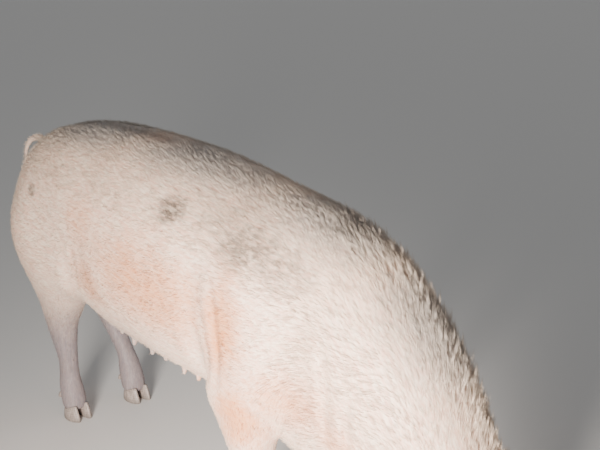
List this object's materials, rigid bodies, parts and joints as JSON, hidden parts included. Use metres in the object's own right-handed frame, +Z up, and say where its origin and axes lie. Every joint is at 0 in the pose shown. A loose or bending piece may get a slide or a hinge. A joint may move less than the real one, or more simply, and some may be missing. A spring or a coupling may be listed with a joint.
{
  "type": "large white pig",
  "caption": "Life-size still model of a large white sow, standing with her head lowered to the floor, curled tail, pricked ears and cloven feet.",
  "frame": {"origin": "on the floor, under the middle of the whole length, on the plane between the left and right sides", "axes": "+X towards the head, +Y to the animal's left, +Z up"},
  "size_m": [1.7195, 0.4247, 0.8311],
  "materials": {
    "skin": "pale pink skin under short, sparse, creamy white bristles",
    "ear_skin": "thin, pink skin with short white hair",
    "eye": "wet, dark brown",
    "claw_horn": "worn, pale grey-brown horn"
  },
  "bodies": {
    "root": {"torso": "skin", "neck": "skin", "head": "skin", "tail": "skin", "ear_right": "ear_skin", "ear_left": "ear_skin", "eye_right": "eye", "eye_left": "eye", "leg_fore_right": "skin", "leg_fore_left": "skin", "leg_hind_right": "skin", "leg_hind_left": "skin", "claw_fore_right_outer": "claw_horn", "claw_fore_right_inner": "claw_horn", "claw_fore_left_outer": "claw_horn", "claw_fore_left_inner": "claw_horn", "claw_hind_right_outer": "claw_horn", "claw_hind_right_inner": "claw_horn", "claw_hind_left_outer": "claw_horn", "claw_hind_left_inner": "claw_horn", "dewclaw_fore_right_outer": "claw_horn", "dewclaw_fore_right_inner": "claw_horn", "dewclaw_fore_left_outer": "claw_horn", "dewclaw_fore_left_inner": "claw_horn", "dewclaw_hind_right_outer": "claw_horn", "dewclaw_hind_right_inner": "claw_horn", "dewclaw_hind_left_outer": "claw_horn", "dewclaw_hind_left_inner": "claw_horn"}
  },
  "joints": []
}
